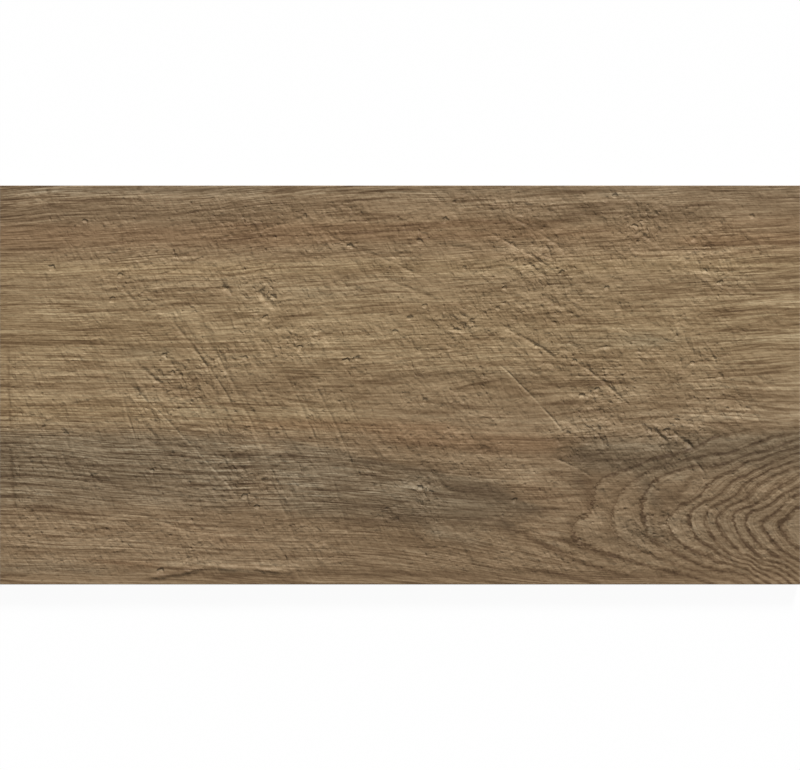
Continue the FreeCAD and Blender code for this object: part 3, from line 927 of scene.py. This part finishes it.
def face_height(tree):
    """The finest relief of the face, in millimetres: raised fibres, torn wood, chips and scratches."""
    along = read(tree, "along")
    across = read(tree, "across")
    down = read(tree, "down")
    strokes = read(tree, "stroke")
    rough = read(tree, "rough")
    sawn = (rough + 0.1) * read(tree, "sawn")
    aslant, downhill = torn_place(tree)
    torn = noise(strokes / 7, (along + down) / 20, 0.0)
    sweeps = noise(strokes / 11, down / 40 + 17, 0.0)
    lumps = noise(aslant / 5.6, downhill / 6.6 + 40, 0.0)
    bumps = noise(aslant / 3.8, downhill / 4.4, 0.0)
    grit = noise(along / 2.5, down / 2.4 + 70, 0.0)
    height = noise(along / 40, across / 1.7 + 12.1) * read(tree, "lined") * 0.06
    height = height + torn.peaked() * sawn * 0.76 + sweeps.peaked() * sawn * 0.88
    height = height + lumps.peaked() * (rough + 0.15) * 0.98 + bumps.peaked() * (rough + 0.15) * 0.52
    height = height + grit.peaked() * (rough + 0.3) * 0.20 + pits(tree) * PIT_DEPTH
    for number in range(len(SCRATCH_SETS)):
        aside = read(tree, f"scratch_aside_{number}") + torn * 0.5
        groove = aside.bell() * (noise(along / 16, down / 16) * 1.2 + 1.0)
        height = height - groove * read(tree, f"scratch_depth_{number}") * GROOVE_DEPTH
    return height - chips(tree) * CHIP_DEPTH


def face_material():
    material, tree, shader = new_material("printed_porcelain")
    # The tone of the print, darkened by painted shade in the pits and made paler in the chips, as fresh
    # wood and as a painted highlight; along the scratches it is paler, or darker as print or as painted
    # shade.
    tone = wood_tone(tree) + pits(tree) * PIT_PAINTED_SHADE + chips(tree) * CHIP_PALENESS_AND_HIGHLIGHT
    for number in range(len(SCRATCH_SETS)):
        # Paleness along the scratches; where it is negative it is print on the printed lines and painted
        # shade on grooves.
        aside = read(tree, f"scratch_aside_{number}")
        tone = tone + aside.bell() * read(tree, f"scratch_pale_{number}")
    colour = ramp(tone, BROWNS)
    warmth = read(tree, "warmth")
    colour = tinted(tree, colour, GREY_TINT, warmth.step(0.0, -1.0))
    colour = tinted(tree, colour, WARM_TINT, warmth.step(0.0, 1.0))
    colour = tinted(tree, colour, GOLD_TINT, read(tree, "gold"))
    tree.links.new(colour, shader["Base Color"])
    feed(tree, shader["Roughness"], tone * -0.06 + FACE_ROUGHNESS)
    shader["Specular IOR Level"].default_value = FACE_SHEEN
    bump(tree, shader, face_height(tree))
    return material


# The fired body, where it shows: ground smooth on the edges, rough on the back.
BODY_COLOURS = [
    (-1.0, (0.270, 0.215, 0.155)),
    (0.0, (0.400, 0.335, 0.255)),
    (1.0, (0.470, 0.405, 0.320)),
]


def object_place(tree):
    """The three coordinates of a point, in millimetres."""
    place = tree.nodes.new("ShaderNodeTexCoord")
    split = tree.nodes.new("ShaderNodeSeparateXYZ")
    tree.links.new(place.outputs["Object"], split.inputs[0])
    return [Field(tree, socket) / MM for socket in split.outputs]


def edge_material():
    material, tree, shader = new_material("ground_edge")
    x, y, z = object_place(tree)
    run = x + y
    specks = noise(run / 0.7, z / 0.7)
    passes = noise(run / 40, z / 0.35)
    tree.links.new(ramp(specks * 0.7 + passes * 0.5, BODY_COLOURS), shader["Base Color"])
    feed(tree, shader["Roughness"], passes * 0.08 + 0.55)
    bump(tree, shader, passes * 0.012 + specks * 0.006)
    return material


def back_material():
    material, tree, shader = new_material("fired_back")
    x, y, z = object_place(tree)
    clouds = noise(x / 60, y / 60, 2.0)
    specks = noise(x / 0.9, y / 0.9)
    wash = z.step(0.5, 0.1) * (noise(x / 5, y / 5, 2.0) * 0.5 + 0.6)
    tree.links.new(ramp(clouds * 0.3 + specks * 0.5 + wash * 0.7, BODY_COLOURS), shader["Base Color"])
    feed(tree, shader["Roughness"], specks * 0.05 + 0.85)
    bump(tree, shader, specks * 0.02 + clouds * 0.02)
    return material


# The stage: a white floor, one soft lamp beyond the far edge, an even sky and the camera above the face.
# The lamp's angles are in degrees.
FLOOR_HALF = 5.0
FLOOR_WHITE = (0.95, 0.95, 0.95, 1.0)
FLOOR_ROUGHNESS = 0.9
LAMP_HEIGHT = 25.0
LAMP_BEARING = 76.0
LAMP_STRENGTH = 4.9
LAMP_WIDTH = 12.0
SKY_STRENGTH = 0.34
WHITE_SHARE = 0.94
LENS = 100.0


def background_rays(tree):
    """1 for rays that see the background straight, in a mirror or through glass, and 0 for light."""
    path = tree.nodes.new("ShaderNodeLightPath")
    seen = [Field(tree, path.outputs[f"Is {kind} Ray"]) for kind in ("Camera", "Glossy", "Transmission")]
    return seen[0].math("MAXIMUM", seen[1]).math("MAXIMUM", seen[2])


def add_floor():
    mesh = bpy.data.meshes.new("floor")
    corners = [(-1, -1), (1, -1), (1, 1), (-1, 1)]
    places = [(x * FLOOR_HALF, y * FLOOR_HALF, LOW.z - NEAR) for x, y in corners]
    mesh.from_pydata(places, [], [(0, 1, 2, 3)])
    floor = bpy.data.objects.new("floor", mesh)
    bpy.context.scene.collection.objects.link(floor)
    material, tree, shader = new_material("white_floor")
    shader["Base Color"].default_value = FLOOR_WHITE
    shader["Roughness"].default_value = FLOOR_ROUGHNESS
    glow = tree.nodes.new("ShaderNodeEmission")
    mix = tree.nodes.new("ShaderNodeMixShader")
    feed(tree, mix.inputs[0], background_rays(tree) * WHITE_SHARE)
    tree.links.new(tree.nodes["Principled BSDF"].outputs[0], mix.inputs[1])
    tree.links.new(glow.outputs[0], mix.inputs[2])
    tree.links.new(mix.outputs[0], tree.nodes["Material Output"].inputs["Surface"])
    mesh.materials.append(material)


def add_light():
    lamp = bpy.data.lights.new("soft_lamp", "SUN")
    lamp.energy = LAMP_STRENGTH
    lamp.angle = math.radians(LAMP_WIDTH)
    holder = bpy.data.objects.new("soft_lamp", lamp)
    height = math.radians(LAMP_HEIGHT)
    bearing = math.radians(LAMP_BEARING)
    level = math.cos(height)
    towards = Vector((math.cos(bearing) * level, math.sin(bearing) * level, math.sin(height)))
    holder.rotation_euler = towards.to_track_quat("Z", "Y").to_euler()
    bpy.context.scene.collection.objects.link(holder)
    world = bpy.data.worlds.new("sky")
    world.use_nodes = True
    sky = world.node_tree.nodes["Background"]
    sky.inputs["Color"].default_value = (1.0, 1.0, 1.0, 1.0)
    seen = background_rays(world.node_tree)
    feed(world.node_tree, sky.inputs["Strength"], seen * (1.0 - SKY_STRENGTH) + SKY_STRENGTH)
    bpy.context.scene.world = world


def add_camera():
    """Straight above the face, which spans the picture's width."""
    camera = bpy.data.cameras.new("camera")
    camera.lens = LENS
    shown = LENGTH * PHOTO_WIDTH / (PRINT_RIGHT - PRINT_LEFT)
    holder = bpy.data.objects.new("camera", camera)
    distance = shown * LENS / camera.sensor_width
    holder.location = ((LOW.x + HIGH.x) / 2, (LOW.y + HIGH.y) / 2, FACE_TOP + distance)
    bpy.context.scene.collection.objects.link(holder)
    bpy.context.scene.camera = holder


tile = build_tile()
for finish in (face_material(), edge_material(), back_material()):
    tile.data.materials.append(finish)
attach(tile, "root")
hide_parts(NODE)
add_floor()
add_light()
add_camera()
bpy.context.scene.view_settings.view_transform = "Standard"
